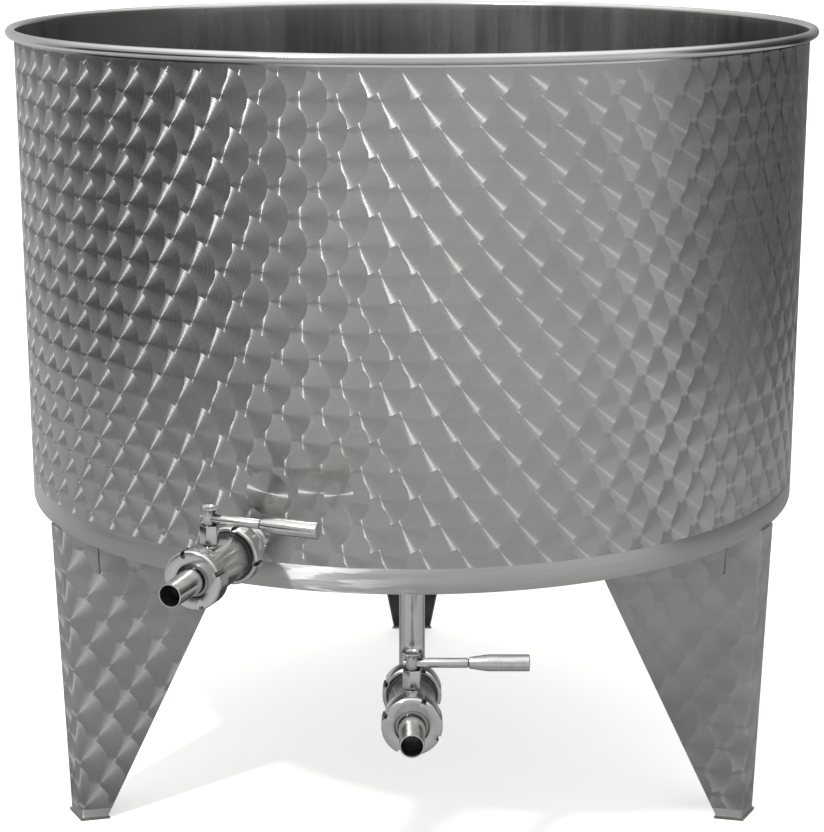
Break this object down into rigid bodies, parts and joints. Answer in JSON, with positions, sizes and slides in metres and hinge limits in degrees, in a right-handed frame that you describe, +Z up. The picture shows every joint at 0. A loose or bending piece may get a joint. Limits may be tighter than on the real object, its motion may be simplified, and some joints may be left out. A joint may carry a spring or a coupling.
{
  "type": "vertical storage tank",
  "caption": "Open-topped round steel tank on folded legs, with rolled rim, side outlet and bottom drain, each with a lever valve and hose tail.",
  "frame": {"origin": "middle of the whole part's footprint, on the floor; the tank's own axis is 76.5 mm behind it, because the outlets reach forward", "axes": "+Z up, -Y towards the front where the outlets are, +X to the right seen from the front"},
  "size_m": [0.9746, 1.1278, 0.9397],
  "materials": {
    "marbled_sheet": "circular-polished stainless sheet",
    "polished_rim": "polished rolled bead",
    "brushed_band": "brushed along the ring",
    "turned_steel": "turned stainless",
    "black_rubber": "satin"
  },
  "bodies": {
    "tank": {"shell_wall": "marbled_sheet", "rim_bead": "polished_rim", "bottom_band": "brushed_band", "floor_plate": "marbled_sheet", "leg_left": "marbled_sheet", "leg_right": "marbled_sheet", "leg_back": "marbled_sheet", "foot_plate_left": "turned_steel", "foot_plate_right": "turned_steel", "foot_plate_back": "turned_steel", "side_spigot": "turned_steel", "bottom_drain_pipe": "turned_steel", "side_rear_nut": "turned_steel", "side_rubber_ring": "black_rubber", "side_valve_body": "turned_steel", "side_stem_housing": "turned_steel", "side_front_nut": "turned_steel", "side_hose_tail": "turned_steel", "bottom_rear_nut": "turned_steel", "bottom_rubber_ring": "black_rubber", "bottom_valve_body": "turned_steel", "bottom_stem_housing": "turned_steel", "bottom_front_nut": "turned_steel", "bottom_hose_tail": "turned_steel"},
    "side_valve": {"side_valve_stem": "turned_steel", "side_valve_disc": "turned_steel", "side_lever_hub": "turned_steel", "side_lever_rod": "turned_steel", "side_lever_grip": "turned_steel"},
    "bottom_valve": {"bottom_valve_stem": "turned_steel", "bottom_valve_disc": "turned_steel", "bottom_lever_hub": "turned_steel", "bottom_lever_rod": "turned_steel", "bottom_lever_grip": "turned_steel"}
  },
  "joints": [
    {"name": "side_valve_turn", "type": "hinge", "parent": "tank", "child": "side_valve", "pos_m": [-0.20767, -0.46451, 0.42], "axis": [0, 0, -1], "range_deg": [0, 90]},
    {"name": "bottom_valve_turn", "type": "hinge", "parent": "tank", "child": "bottom_valve", "pos_m": [0, -0.473, 0.266], "axis": [0, 0, -1], "range_deg": [0, 90]}
  ]
}
